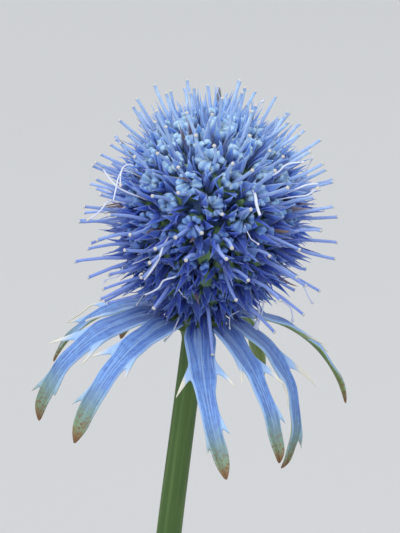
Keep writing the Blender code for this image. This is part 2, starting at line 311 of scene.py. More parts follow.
def new_group(name, inputs, outputs):
    """A shader node group with the kind of each named socket, and the sockets inside it."""
    made = bpy.data.node_groups.new(name, "ShaderNodeTree")
    for way, sockets in (("INPUT", inputs), ("OUTPUT", outputs)):
        for label, kind in sockets.items():
            made.interface.new_socket(label, in_out=way, socket_type="NodeSocket" + kind)
    return made, made.nodes.new("NodeGroupInput").outputs, made.nodes.new("NodeGroupOutput").inputs


def make_mottle():
    """Cloudy patches of a second colour, as plant skin has, with a fine grain for its relief."""
    group, given, result = new_group(
        "plant_mottle",
        {"Color": "Color", "Patch Color": "Color", "Patch Size": "Float", "Amount": "Float"},
        {"Color": "Color", "Height": "Float"},
    )
    place = object_place(group)
    clouds = noise(group, place, maths(group, "DIVIDE", 1 / MM, given["Patch Size"]), 3.0)
    share = maths(group, "MULTIPLY", ramp(group, clouds, 0.38, 0.68), given["Amount"])
    group.links.new(mixed_colour(group, share, given["Color"], given["Patch Color"]), result["Color"])
    group.links.new(noise(group, place, 5 / MM, 2.0), result["Height"])
    return group


plant_mottle = make_mottle()


def mottled(tree, colour, patch_colour, patch_size, amount):
    """A colour with patches of another, of a size in millimetres, and the grain for its relief."""
    return add_node(tree, "Group", {
        "Color": colour, "Patch Color": patch_colour, "Patch Size": patch_size, "Amount": amount,
    }, node_tree=plant_mottle).outputs


def upright_place(tree):
    """The place seen from the top of the stem, with the stem's lean taken out of it."""
    return add_node(tree, "Mapping", {
        "Vector": object_place(tree), "Location": stem_frame.translation, "Rotation": (0, STEM_LEAN, 0),
    }, vector_type="TEXTURE").outputs[0]


def close_leaf(made, tree, colour, height, relief, strength, roughness, specular, glow, glow_reach):
    """Closes a plant material that lets a little light through.

    The relief's depth, and how far red, green and blue light spread in the skin, are in millimetres.
    """
    bump = add_node(tree, "Bump", {"Height": height, "Strength": strength, "Distance": relief * MM})
    return close_material(made, tree, add_node(tree, "BsdfPrincipled", {
        "Base Color": colour, "Roughness": roughness, "Normal": bump.outputs["Normal"],
        "Specular IOR Level": specular, "Subsurface Weight": glow,
        "Subsurface Radius": [reach * MM for reach in glow_reach], "Subsurface Scale": 1.0,
    }))


def make_stem_finish():
    made, tree = new_material("stem_green")
    upright = upright_place(tree)
    streaky = add_node(tree, "Mapping", {"Vector": upright, "Scale": (2.6 / MM, 2.6 / MM, 0.05 / MM)})
    streaks = noise(tree, streaky.outputs[0], 1.0, 3.0)
    skin, _ = mottled(tree, STEM_GREEN, STEM_DARK, 5.0, 0.6)
    striped = mixed_colour(tree, ramp(tree, streaks, 0.5, 0.72), skin, STEM_STREAK)
    height = add_node(tree, "SeparateXYZ", {"Vector": upright}).outputs["Z"]
    cut = maths(tree, "LESS_THAN", height, (foot + 0.1) * MM)
    colour = mixed_colour(tree, cut, striped, CUT_END)
    return close_leaf(made, tree, colour, streaks, 0.05, 0.6, 0.55, 0.3, 0.15, (0.3, 0.6, 0.2))


stem.data.materials.append(make_stem_finish())
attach(stem, "root")
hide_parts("stem")

# Ruff. Nine leathery bracts droop from the collar: stiff channelled straps with spiny teeth, blue above with
# paler ribs and edges, green below, and brown at the tip. All are cut from one blank, then toothed and bent.
BLANK_ROWS = 22
BLANK_COLUMNS = 6
BLANK_OUTLINE = ((-0.05, 0.86), (0.04, 1.0), (0.1, 1.16), (0.16, 1.04), (0.24, 0.92), (0.36, 0.92),
                 (0.44, 0.7), (0.65, 0.64), (0.82, 0.62), (0.91, 0.52), (0.97, 0.28), (1, 0.04))
TWISTED_BY = 0.35  # the share of a bract's length by which it has taken up its whole twist
BRACT_STEPS = 120
BRACT_THICKNESS = 0.42
THINNEST = 0.15  # the least share of the thickness, out on the spines
BRACT_CHANNEL = 0.28
BRACT_WAVE = 0.12
TOOTH_SWEEP = math.radians(35)
TOOTH_LIFT = 0.25
TOOTH_TAPER = (0.66, 0.6, 0.5, 0.4, 0.02)
# Name, azimuth and droop in degrees at the root and at the tip, twist in degrees, length and width, then the
# teeth as (share of the length, side, length). Azimuth 0 is towards -Y and 90 towards +X, side 1 is the
# anticlockwise one, and a twist lowers that side.
BRACTS = (
    ("bract_front", (5, 23), (31, 33), 0, 18.6, 2.9,
     ((0.34, 1, 2.8), (0.37, -1, 3.8), (0.69, 1, 1.1), (0.81, -1, 1.0))),
    ("bract_front_right", (43, 32), (19, 65), 0, 15.9, 2.7,
     ((0.41, 1, 2.6), (0.38, -1, 2.3), (0.74, 1, 0.8))),
    ("bract_right", (83, 71), (17, 112), -16, 18.3, 2.6,
     ((0.43, 1, 3.6), (0.46, -1, 2.8), (0.81, 1, 1.3))),
    ("bract_back_right", (117, 106), (-2, 71), 0, 19.2, 2.3,
     ((0.62, 1, 2.5), (0.48, -1, 2.2), (0.88, 1, 0.9))),
    ("bract_back", (156, 135), (0, 88), 8, 19.0, 2.5,
     ((0.40, 1, 2.4), (0.45, -1, 2.4), (0.76, 1, 1.0))),
    ("bract_back_left", (199, 212), (2, 62), -8, 17.5, 2.5,
     ((0.42, 1, 2.4), (0.46, -1, 2.4), (0.78, -1, 1.0))),
    ("bract_left_behind", (241, 246), (3, 70), 20, 16.0, 2.6,
     ((0.50, -1, 2.0), (0.70, -1, 2.0), (0.45, 1, 1.8))),
    ("bract_left", (281, 286), (5, 86), 26, 17.9, 3.1,
     ((0.50, -1, 2.7), (0.44, 1, 2.4), (0.81, -1, 1.0), (0.76, 1, 0.8))),
    ("bract_front_left", (320, 328), (2, 64), 10, 18.3, 3.0,
     ((0.44, -1, 2.3), (0.50, 1, 1.9), (0.76, -1, 1.1))),
)
BRACT_BLUE = srgb(98, 142, 208)
BRACT_BASE = srgb(78, 106, 180)
BRACT_SHADE = srgb(72, 98, 166)
BRACT_PALE = srgb(166, 198, 236)
BRACT_TEAL = srgb(120, 144, 82)
BRACT_BROWN = srgb(120, 88, 58)
SPINE_CREAM = srgb(220, 216, 200)
UNDERSIDE = srgb(78, 106, 52)
UNDERSIDE_SHADE = srgb(70, 100, 60)
UNDERSIDE_PALE = srgb(150, 172, 120)
UNDERSIDE_TIP = srgb(122, 140, 80)


def read_outline(points, share):
    """A value read between the points of an outline, each (share, value)."""
    for (start, low), (stop, high) in zip(points, points[1:]):
        if share <= stop:
            return low + (high - low) * max(0, share - start) / (stop - start)
    return points[-1][1]


def pick(chosen, kind="verts"):
    """Selects, in edit mode, only the vertices or edges for which chosen holds."""
    bpy.ops.mesh.select_mode(type="VERT" if kind == "verts" else "EDGE")
    bpy.ops.mesh.select_all(action="DESELECT")
    edited = bmesh.from_edit_mesh(bpy.context.edit_object.data)
    for part in getattr(edited, kind):
        if chosen(part):
            part.select_set(True)
    edited.select_flush_mode()
    bmesh.update_edit_mesh(bpy.context.edit_object.data)


def cut_blank():
    """The flat strap that each bract starts from, 1 long along +Y and 1 wide, with the common outline."""
    start_fresh()
    bpy.ops.mesh.primitive_grid_add(
        x_subdivisions=BLANK_COLUMNS, y_subdivisions=BLANK_ROWS, size=1, calc_uvs=False
    )
    blank = bpy.context.object
    blank.name = "bract_blank"
    bpy.ops.object.mode_set(mode="EDIT")
    bpy.ops.transform.translate(value=(0, 0.5, 0))
    for k in range(BLANK_ROWS + 1):
        share = k / BLANK_ROWS
        pick(lambda vertex: abs(vertex.co.y - share) < 0.2 / BLANK_ROWS)
        narrow = read_outline(BLANK_OUTLINE, share if k else BLANK_OUTLINE[0][0])
        bpy.ops.transform.resize(value=(narrow, 1, 1), center_override=(0, share, 0))
    start_fresh()
    return blank


def draw_tooth(share, side, tooth_length, width, length):
    """Draws a spiny tooth out of the strap's edge, in edit mode. Its outer side flows on from the edge."""
    row = round(share * BLANK_ROWS)
    low, high = (row - 2.5) / BLANK_ROWS * length, (row + 0.5) / BLANK_ROWS * length
    edge_x = side * width / 2 * read_outline(BLANK_OUTLINE, row / BLANK_ROWS)
    reach = Vector((side * math.sin(TOOTH_SWEEP), math.cos(TOOTH_SWEEP), TOOTH_LIFT)) * tooth_length
    tip = Vector((edge_x, row / BLANK_ROWS * length, 0)) + reach

    def on_edge(edge):
        ends = [v.co for v in edge.verts]
        return edge.is_boundary and all(low * MM < c.y < high * MM and c.x * side > 0.2 * MM for c in ends)

    pick(on_edge, "edges")
    for shrink in TOOTH_TAPER:
        bpy.ops.mesh.extrude_edges_move(TRANSFORM_OT_translate={"value": (0, 0, 0)})
        bpy.ops.transform.resize(value=(shrink,) * 3, center_override=tip * MM)
    bpy.ops.mesh.merge(type="CENTER")


def bract_stations(azimuths, droops, twist, length):
    """Frames along a bract's rib: its place, and the ways along it, across it and up from its face."""
    spot = None
    for k in range(BRACT_STEPS + 1):
        share = k / BRACT_STEPS
        azimuth = math.radians(azimuths[0] + (azimuths[1] - azimuths[0]) * share)
        droop = math.radians(droops[0] + (droops[1] - droops[0]) * share)
        out = Vector((math.sin(azimuth), -math.cos(azimuth), 0))
        along = out * math.cos(droop) - Vector((0, 0, math.sin(droop)))
        across = Vector((0, 0, 1)).cross(out)
        if spot is None:
            spot = out * (COLLAR_RADIUS + GAP) - Vector((0, 0, GAP + 0.6))
        roll = Matrix.Rotation(-math.radians(twist) * min(1, share / TWISTED_BY), 3, along)
        yield spot.copy(), along, roll @ across, roll @ along.cross(across)
        spot += along * length / BRACT_STEPS


def add_strap_map(piece, width, length):
    """A UV map of the flat strap: across it from -1 to 1, and past that on the teeth, and 0 to 1 along it."""
    layer = piece.data.uv_layers.new(name="strap")
    for loop in piece.data.loops:
        x, y, _ = piece.data.vertices[loop.vertex_index].co / MM
        half = max(0.35, width / 2 * read_outline(BLANK_OUTLINE, y / length))
        layer.data[loop.index].uv = (x / half, y / length)


def copy_of(template):
    """A copy with a mesh of its own, selected beside what is selected, and active."""
    one = template.copy()
    one.data = template.data.copy()
    bpy.context.scene.collection.objects.link(one)
    one.select_set(True)
    bpy.context.view_layer.objects.active = one
    return one


def make_bract(blank, finishes, name, azimuths, droops, twist, length, width, teeth):
    start_fresh()
    bract = copy_of(blank)
    bract.name = name + "_leaf"
    bpy.ops.object.mode_set(mode="EDIT")
    bpy.ops.mesh.select_all(action="SELECT")
    bpy.ops.transform.resize(value=(width * MM, length * MM, 1), center_override=(0, 0, 0))
    for tooth in teeth:
        draw_tooth(*tooth, width, length)
    bpy.ops.object.mode_set(mode="OBJECT")
    blade = bract.vertex_groups.new(name="blade")
    for vertex in bract.data.vertices:
        x, y, _ = vertex.co / MM
        half = width / 2 * read_outline(BLANK_OUTLINE, y / length)
        beyond = max(0, abs(x) - half)
        full = min(1, 1.25 - 0.75 * y / length) / (1 + 1.6 * beyond)
        blade.add([vertex.index], full, "REPLACE")
        side_share = min(1, abs(x) / max(half, 0.3)) ** 2
        vertex.co.z += (BRACT_CHANNEL + BRACT_WAVE * math.sin(1.4 * y + azimuths[0])) * side_share * MM
    for finish in finishes:
        bract.data.materials.append(finish)
    wall = bract.modifiers.new("wall", "SOLIDIFY")
    wall.thickness = BRACT_THICKNESS * MM
    wall.offset = 0
    wall.material_offset = 1
    wall.vertex_group = "blade"
    wall.thickness_vertex_group = THINNEST
    round_off = bract.modifiers.new("round_off", "SUBSURF")
    round_off.levels = round_off.render_levels = 2
    for modifier in ("wall", "round_off"):
        bpy.ops.object.modifier_apply(modifier=modifier)
    add_strap_map(bract, width, length)
    stations = list(bract_stations(azimuths, droops, twist, length))
    for vertex in bract.data.vertices:
        x, y, z = vertex.co / MM
        k = min(max(round(y / length * BRACT_STEPS), 0), BRACT_STEPS)
        spot, along, across, up = stations[k]
        vertex.co = (spot + across * x + up * z + along * (y - k * length / BRACT_STEPS)) * MM
    bract.data.transform(stem_frame)
    bpy.ops.object.shade_smooth()
    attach(bract, "root")
    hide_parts(name)


def make_length_colours():
    """Colours that change along a part as it grows: at its root, in its middle and at its tip."""
    group, given, result = new_group("length_colours", {
        "Length": "Float", "Root Color": "Color", "Middle Color": "Color", "Tip Color": "Color",
        "Middle From": "Float", "Tip From": "Float",
    }, {"Color": "Color"})
    grown = ramp(group, given["Length"], 0.0, given["Middle From"])
    ended = ramp(group, given["Length"], given["Tip From"], 1.0)
    lower = mixed_colour(group, grown, given["Root Color"], given["Middle Color"])
    group.links.new(mixed_colour(group, ended, lower, given["Tip Color"]), result["Color"])
    return group


length_colours = make_length_colours()


def coloured_along(tree, length, root, middle, tip, middle_from, tip_from):
    """The colour at a share of a part's length."""
    return add_node(tree, "Group", {
        "Length": length, "Root Color": root, "Middle Color": middle, "Tip Color": tip,
        "Middle From": middle_from, "Tip From": tip_from,
    }, node_tree=length_colours).outputs["Color"]


def make_bract_finish(name, root, middle, tip, patch, pale, ribs):
    """One face of a bract. The strap map gives the fibres, ribs, pale edges, green tip and cream spines.

    The tip is greenish and freckled with brown, and brown all over at its very end.
    """
    made, tree = new_material(name)
    strap = add_node(tree, "UVMap", uv_map="strap")
    part = add_node(tree, "SeparateXYZ", {"Vector": strap.outputs["UV"]})
    across, along = part.outputs["X"], part.outputs["Y"]
    growth = coloured_along(tree, along, root, middle, tip, 0.4, 0.6)
    clouds, _ = mottled(tree, growth, patch, 2.2, 0.5)
    colour, _ = mottled(tree, clouds, patch, 0.55, 0.55)
    flat = add_node(tree, "CombineXYZ", {"X": across, "Y": along})
    fibres = add_node(tree, "Mapping", {"Vector": flat.outputs[0], "Scale": (ribs, 3.0, 1.0)})
    veins = noise(tree, fibres.outputs[0], 1.0, 3.0, 0.3)
    side = maths(tree, "ABSOLUTE", across)
    rib = ramp(tree, side, 0.12, 0.0)
    freckles = ramp(tree, noise(tree, object_place(tree), 3.0 / MM, 3.0), 0.48, 0.58)
    speckled = maths(tree, "MULTIPLY", freckles, ramp(tree, along, 0.78, 0.93))
    for share, laid_over in (
        (ramp(tree, veins, 0.5, 0.64, 0.0, 0.5), pale),
        (maths(tree, "MULTIPLY", rib, 0.55), pale),
        (ramp(tree, side, 0.84, 1.0, 0.0, 0.8), pale),
        (ramp(tree, along, 0.66, 0.92, 0.0, 0.7), tip),
        (maths(tree, "MAXIMUM", speckled, ramp(tree, along, 0.9, 0.97)), BRACT_BROWN),
        (ramp(tree, side, 1.4, 2.1), SPINE_CREAM),
    ):
        colour = mixed_colour(tree, share, colour, laid_over)
    height = maths(tree, "ADD", veins, rib)
    return close_leaf(made, tree, colour, height, 0.09, 0.7, 0.5, 0.35, 0.12, (0.3, 0.4, 0.6))


faces = (
    make_bract_finish("bract_upper_face", BRACT_BASE, BRACT_BLUE, BRACT_TEAL, BRACT_SHADE, BRACT_PALE, 7.0),
    make_bract_finish("bract_under_face", UNDERSIDE, UNDERSIDE, UNDERSIDE_TIP, UNDERSIDE_SHADE,
                      UNDERSIDE_PALE, 5.0),
)
blank = cut_blank()
for row in BRACTS:
    make_bract(blank, faces, *row)
bpy.data.objects.remove(blank)

# Receptacle. The fleshy egg in the middle of the head, which the florets stand on, with a short foot on the
# stem's collar. It shows only as blue depth between them, and its pale blue is partly painted light, that
# lightens that shaded depth.
HEAD_CENTRE = 9.4
CORE_RADIUS = 5.8
CORE_HALF_HEIGHT = 7.3
CORE_INSET = 0.35
CORE_FOOT = ((0.3, 0), (COLLAR_RADIUS * 0.8, 0), (COLLAR_RADIUS * 0.85, 1.2))
LOWEST_SINE = -0.96
FLORET_REACH = 3
# Pale blue, partly painted light that lightens the shaded depth between the florets.
CORE_BLUE = srgb(112, 146, 200)
CORE_SHADE = srgb(92, 124, 204)
GLOW_REACH = (0.5, 0.7, 1.1)

egg = [((CORE_RADIUS - CORE_INSET) * across, HEAD_CENTRE + (CORE_HALF_HEIGHT - CORE_INSET) * up)
       for across, up in arc((0, 0), 1, math.degrees(math.asin(LOWEST_SINE)), 88, 24)]
receptacle = turn_up("receptacle", [*CORE_FOOT, *egg], 32)


def make_head_height():
    """How high on the head a point lies, from 0 under it to 1 at its top."""
    group, _, result = new_group("head_height", {}, {"Height": "Float"})
    height = add_node(group, "SeparateXYZ", {"Vector": upright_place(group)}).outputs["Z"]
    lowest = (HEAD_CENTRE - CORE_HALF_HEIGHT) * MM
    highest = (HEAD_CENTRE + CORE_HALF_HEIGHT + FLORET_REACH) * MM
    group.links.new(ramp(group, height, lowest, highest), result["Height"])
    return group


head_height = make_head_height()


def make_receptacle_finish():
    made, tree = new_material("receptacle_blue")
    colour, grain = mottled(tree, CORE_BLUE, CORE_SHADE, 1.2, 0.8)
    return close_leaf(made, tree, colour, grain, 0.1, 0.7, 0.7, 0.25, 0.0, GLOW_REACH)


receptacle.data.materials.append(make_receptacle_finish())
receptacle.data.transform(stem_frame)
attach(receptacle, "root")
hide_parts("head")

# Ovaries. Each floret stands on a small green barrel that opens at the top in a disc. The florets go down the
# head in a golden spiral. Each kind of part has five colours: at its root, middle and tip, and those that it
# is pulled to low on the head and high on it. The low one is partly painted shade, and the high one partly
# painted light.
FLORETS = 118
FLORET_SIZE = (1.06, 1.2)
GOLDEN_ANGLE = math.pi * (3 - math.sqrt(5))
DOWNWARD_SHARE = 0.55  # florets below the middle dip by this share of their latitude
OVARY_TOP = 1.5
OVARY = ((0.5, -0.4), (0.86, 0.3), (1.04, 1.0), (0.92, OVARY_TOP - 0.05), (0.5, OVARY_TOP + 0.05),
         (0.2, OVARY_TOP - 0.1))
# Pale greens, partly the ovaries' own colour and partly painted light that lightens the shaded depth where
# they stand.
OVARY_COLOURS = ((132, 176, 170), (140, 188, 132), (154, 196, 104), (74, 106, 98), (158, 208, 176))
chance = random.Random(21)


def floret_places():
    """Each floret's frame, Z along its axis and X down the head, and its height from 0 to 1."""
    for k in range(FLORETS):
        sine = 1 - (1 - LOWEST_SINE) * (k + 0.5) / FLORETS
        latitude = math.asin(sine)
        azimuth = k * GOLDEN_ANGLE
        out = Vector((math.cos(azimuth), math.sin(azimuth), 0))
        root = out * CORE_RADIUS * math.cos(latitude)
        root.z = HEAD_CENTRE + CORE_HALF_HEIGHT * sine
        tilt = latitude * (DOWNWARD_SHARE if latitude < 0 else 1) + math.radians(chance.uniform(-5, 5))
        axis = out * math.cos(tilt) + Vector((0, 0, math.sin(tilt)))
        down = out * math.sin(tilt) - Vector((0, 0, math.cos(tilt)))
        turn = Matrix((down, axis.cross(down), axis)).transposed().to_4x4()
        size = Matrix.Scale(chance.uniform(*FLORET_SIZE), 4)
        yield Matrix.Translation(root * MM) @ turn @ size, (sine - LOWEST_SINE) / (1 - LOWEST_SINE)


florets = list(floret_places())


def mark(piece, name, values):
    """Keeps a value for each point of a piece, for its material to read."""
    kept_values = piece.data.attributes.get(name) or piece.data.attributes.new(name, "FLOAT", "POINT")
    kept_values.data.foreach_set("value", values)


def add_growth(piece):
    """Marks how far along the upright piece each point lies, from 0 at its root to 1 at its tip."""
    heights = [vertex.co.z for vertex in piece.data.vertices]
    tall = max(heights)
    mark(piece, "growth", [max(0, height / tall) for height in heights])


def join_all(pieces, name):
    start_fresh()
    for piece in pieces:
        piece.select_set(True)
    bpy.context.view_layer.objects.active = pieces[0]
    if len(pieces) > 1:
        bpy.ops.object.join()
    pieces[0].name = name
    return pieces[0]


def copy_to(template, places, name):
    """Copies of a template, one for each (matrix, tint), joined in one piece."""
    copies = []
    for matrix, tint in places:
        copies.insert(0, copy_of(template))
        copies[0].data.transform(matrix)
        mark(copies[0], "tint", [tint] * len(template.data.vertices))
    return join_all(copies, name)


def shared_out(items, count):
    """The items dealt at random into as many groups as there are templates."""
    items = list(items)
    if count == 1:
        return [items]
    groups = [[] for _ in range(count)]
    for item in items:
        groups[chance.randrange(count)].append(item)
    return groups


def finish_head_piece(name, templates, places, finish, add_more=None):
    """Fills the head with copies of the templates, each at its share of the places, as one piece."""
    groups = shared_out(places, len(templates))
    whole = join_all([copy_to(template, group, name) for template, group in zip(templates, groups)], name)
    for template in templates:
        bpy.data.objects.remove(template)
    if add_more:
        whole = add_more(whole)
    whole.data.materials.clear()
    whole.data.materials.append(finish)
    whole.data.transform(stem_frame)
    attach(whole, "root")
    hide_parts("head")


def read_mark(tree, name):
    return add_node(tree, "Attribute", attribute_name=name).outputs["Fac"]


def make_growth_finish(name, colours, roughness, glow, middle_from=0.4, tip_from=0.75,
                       end=None, end_from=0.93, aged_from=0, crest=None):
    """A floret part's colours, from root to tip, pulled to a darker colour low on the head and a paler one
    high on
    it: partly the part's own colour, partly painted shade low down and painted light high up.

    An end with a colour of its own keeps it all over the head, on the copies whose tint is high enough. The
    crest is a painted highlight on a petal's raised fingers, which is strongest high on the head, where the
    light falls.
    """
    made, tree = new_material(name)
    root, middle, tip, low, high = [srgb(*colour) for colour in colours]
    growth, tint = read_mark(tree, "growth"), read_mark(tree, "tint")
    height = add_node(tree, "Group", node_tree=head_height).outputs["Height"]
    colour = coloured_along(tree, growth, root, middle, tip, middle_from, tip_from)
    # Painted light and shade, partly the part's own colour: pulled paler high on the head, where the light
    # from above falls, and darker low on it, where it lies in shade.
    colour = mixed_colour(tree, ramp(tree, height, 0.55, 1.0, 0.0, 0.8), colour, high)
    colour = mixed_colour(tree, ramp(tree, height, 0.72, 0.1, 0.0, 0.8), colour, low)
    colour = mixed_colour(tree, 1.0, colour, ramp(tree, tint, 0.0, 1.0, 0.8, 1.16), "MULTIPLY")
    colour, grain = mottled(tree, colour, low, 0.8, 0.35)
    if crest:
        # Painted highlight: the fingers' crests are paled, the more so high on the head, where the light
        # falls.
        crest_highlight_share = ramp(tree, height, 0.45, 0.9, 0.15, 0.85)
        pale = maths(tree, "MULTIPLY", read_mark(tree, "ridge"), crest_highlight_share)
        colour = mixed_colour(tree, pale, colour, srgb(*crest))
    if end:
        near_end = ramp(tree, growth, end_from, end_from + 0.4 * (1 - end_from))
        aged = maths(tree, "GREATER_THAN", tint, aged_from)
        colour = mixed_colour(tree, maths(tree, "MULTIPLY", near_end, aged), colour, srgb(*end))
    return close_leaf(made, tree, colour, grain, 0.02, 0.7, roughness, 0.25, glow, GLOW_REACH)


ovary = turn_up("ovary", OVARY, 7)
add_growth(ovary)
ovary_finish = make_growth_finish("ovary_green", OVARY_COLOURS, 0.6, 0.4)
finish_head_piece("ovaries", [ovary], [(place, chance.random()) for place, _ in florets], ovary_finish)

# Sepals. Five to a floret, round the top of the ovary: stiff blue blades, cupped inwards, with a fine point
# and a paler root, which is partly painted light in the shaded depth between the florets. Those of the older
# florets low on the head spread wider.
PER_FLORET = 5
SEPAL = ((0.12, 0.26, 0), (0.1, 0.42, 0.45), (0.08, 0.46, 0.95), (0.06, 0.32, 1.6), (0.045, 0.15, 2.2),
         (0.02, 0.02, 2.8))
SEPAL_STAND = (0.82, OVARY_TOP - 0.3)  # distance from the floret's axis, and height
SEPAL_CUP = 0.8
# The pale root is partly painted light in the shaded depth between the florets.
SEPAL_COLOURS = ((132, 176, 204), (88, 112, 204), (104, 118, 204), (42, 56, 136), (146, 178, 242))
BEND_STEPS = 80


def draw_up(name, rings, sides, shape_section=None):
    """A slim, smooth part of a floret, drawn up through rings from its root to its tip."""
    piece = draw_rings(name, rings, sides, shape_section)
    bpy.ops.object.shade_smooth()
    add_growth(piece)
    return piece


def bend(piece, lean_at, cupped=0):
    """Curves an upright piece, by its lean towards +X in degrees at each share of its height, and cups it."""
    tall = max(vertex.co.z for vertex in piece.data.vertices)
    spine = [Vector((0, 0, 0))]
    for k in range(BEND_STEPS):
        lean = math.radians(lean_at((k + 0.5) / BEND_STEPS))
        spine.append(spine[-1] + Vector((math.sin(lean), 0, math.cos(lean))) * tall / BEND_STEPS)
    for vertex in piece.data.vertices:
        x, y, z = vertex.co
        share = min(max(z / tall, 0), 1)
        lean = math.radians(lean_at(share))
        x -= cupped * y * y / MM
        vertex.co = spine[round(share * BEND_STEPS)] + Vector((x * math.cos(lean), y, -x * math.sin(lean)))
    return piece


def around(angle, reach, height, lean):
    """The place of a part that stands round a floret's axis, with its outer side turned outwards."""
    turned = Matrix.Rotation(angle, 4, "Z") @ Matrix.Translation((reach * MM, 0, height * MM))
    return turned @ Matrix.Rotation(math.radians(lean), 4, "Y")


def sepal_places():
    for place, height in florets:
        spread = 7 + 34 * (1 - height)
        start = chance.uniform(0, math.tau)
        tint = chance.random()
        for k in range(PER_FLORET):
            angle = start + math.tau * k / PER_FLORET + chance.uniform(-0.12, 0.12)
            size = Matrix.Diagonal((1, 0.86 + 0.3 * height, chance.uniform(0.56, 0.84) + 0.42 * height, 1))
            stand = around(angle, *SEPAL_STAND, spread + chance.uniform(-10, 10))
            yield place @ stand @ size, min(max(tint + chance.uniform(-0.3, 0.3), 0), 1)


blade_curls = (lambda share: 10 - 40 * share, lambda share: 4 + 24 * share, lambda share: 14 - 10 * share)
sepals = [bend(draw_up("sepal", SEPAL, 6), curl, SEPAL_CUP) for curl in blade_curls]
sepal_finish = make_growth_finish("sepal_blue", SEPAL_COLOURS, 0.5, 0.8)
finish_head_piece("sepals", sepals, sepal_places(), sepal_finish)

# Petals. Five to a floret, between the sepals: narrow pale blue straps that rise and then fold inwards and
# down, like the fingers of a half-closed hand. Many of the older florets have dropped theirs.
PETAL = ((0.08, 0.24, 0), (0.11, 0.4, 0.9), (0.14, 0.5, 1.5), (0.15, 0.54, 1.8), (0.15, 0.53, 2.05),
         (0.14, 0.48, 2.3), (0.11, 0.36, 2.6), (0.06, 0.16, 3.1))
PETAL_STAND = (0.55, OVARY_TOP - 0.1)
PETAL_FOLDS = (175, 195, 145)
PETAL_CUP = 0.9
FOLD_FROM = 0.44
FOLDED_BY = 0.76
RISING_LEAN = 6
# The pale green root is partly painted light in the shaded depth between the florets.
PETAL_COLOURS = ((158, 204, 144), (104, 146, 212), (102, 144, 216), (46, 66, 152), (154, 194, 242))
# The colour of the painted highlight on the petals' raised fingers.
PETAL_CREST_HIGHLIGHT = (184, 214, 244)


def petal_places():
    for place, height in florets:
        start = chance.uniform(0, math.tau)
        tint = chance.random()
        spread = chance.uniform(8, 18)
        kept = 0.3 + 1.1 * height
        for k in range(PER_FLORET):
            if chance.random() > kept:
                continue
            angle = start + math.tau * k / PER_FLORET + chance.uniform(-0.1, 0.1)
            size = (0.46 + 0.76 * height) * chance.uniform(0.92, 1.08)
            stand = around(angle, *PETAL_STAND, spread + chance.uniform(-5, 5))
            yield place @ stand @ Matrix.Diagonal((size, 1.2 * size, 0.88 * size, 1)), tint


def part_fingers():
    """Presses a groove into the outer side of a petal's section, between two rounded fingers."""
    thick, wide = (half * MM for half in PETAL[0][:2])
    pick(lambda vertex: vertex.co.x > 0.9 * thick)
    bpy.ops.transform.translate(value=(-thick, 0, 0))
    pick(lambda vertex: 0.2 * wide < abs(vertex.co.y) < 0.9 * wide and vertex.co.x > 0)
    bpy.ops.transform.resize(value=(1.4, 0.72, 1), center_override=(0, 0, 0))


def add_ridges(petal):
    """Marks the crests of the two fingers with 1, and the groove and the petal's edges with 0."""
    widths = [(height, wide * MM) for _, wide, height in PETAL]
    shares = [abs(vertex.co.y) / read_outline(widths, vertex.co.z / MM) for vertex in petal.data.vertices]
    mark(petal, "ridge", [1 - min(1, 2.4 * abs(share - 0.5)) for share in shares])


def fold_over(fold):
    """A lean that is nearly upright at first, and then folds inwards by some degrees."""
    def lean_at(share):
        part = min(max((share - FOLD_FROM) / (FOLDED_BY - FOLD_FROM), 0), 1)
        return RISING_LEAN - (fold + RISING_LEAN) * part * part * (3 - 2 * part)
    return lean_at


def make_petal(fold):
    """One petal, with the groove down its outer side that parts it into two fingers."""
    petal = draw_up("petal", PETAL, 8, part_fingers)
    add_ridges(petal)
    return bend(petal, fold_over(fold), PETAL_CUP)


petals = [make_petal(fold) for fold in PETAL_FOLDS]
petal_finish = make_growth_finish("petal_pale_blue", PETAL_COLOURS, 0.55, 0.7, 0.4, 0.5, crest=PETAL_CREST_HIGHLIGHT)
finish_head_piece("petals", petals, petal_places(), petal_finish)

# Bracteoles. Five stiff narrow scales stand round each floret and reach past its cup in a sharp point, and a
# skirt of them hangs out under the head. A few of them have brown ends.
BRACTEOLE = ((0.16, 0.28, 0), (0.16, 0.4, 1.0), (0.12, 0.37, 2.2), (0.08, 0.24, 3.4), (0.05, 0.1, 4.3),
             (0.02, 0.02, 5.1))
BRACTEOLE_STAND = (1.08, -0.5)
BRACTEOLE_CUP = 0.3
SKIRT = 48
SKIRT_RADIUS = 2.2
# The pale root is partly painted light in the shaded depth between the florets.
BRACTEOLE_COLOURS = ((126, 166, 202), (90, 110, 204), (112, 118, 200), (42, 54, 136), (148, 178, 242))
BROWN_END = (118, 96, 82)


def bracteole_places():
    for place, height in florets:
        for k in range(PER_FLORET):
            angle = math.tau * k / PER_FLORET + chance.uniform(-0.6, 0.6)
            stand = around(angle, *BRACTEOLE_STAND, 8 + chance.uniform(-4, 8))
            stretch = Matrix.Scale(chance.uniform(0.7, 0.96) + 0.24 * height, 4, (0, 0, 1))
            yield place @ stand @ stretch, chance.random()


def skirt_places():
    """The lowest scales, which hang out over the roots of the bracts."""
    for k in range(SKIRT):
        turn = Matrix.Rotation(math.tau * (k + chance.uniform(-0.3, 0.3)) / SKIRT, 4, "Z")
        stand = turn @ Matrix.Translation((SKIRT_RADIUS * MM, 0, chance.uniform(0.2, 1.6) * MM))
        lean = Matrix.Rotation(math.radians(chance.uniform(96, 126)), 4, "Y")
        yield stand @ lean @ Matrix.Scale(chance.uniform(0.62, 0.9), 4), chance.random()


bracteoles = [bend(draw_up("bracteole", BRACTEOLE, 4), curl, BRACTEOLE_CUP) for curl in blade_curls]
bracteole_finish = make_growth_finish("bracteole_blue", BRACTEOLE_COLOURS, 0.5, 0.7, 0.4, 0.8,
                                      BROWN_END, 0.45, 0.96)
finish_head_piece("bracteoles", bracteoles, [*bracteole_places(), *skirt_places()], bracteole_finish)

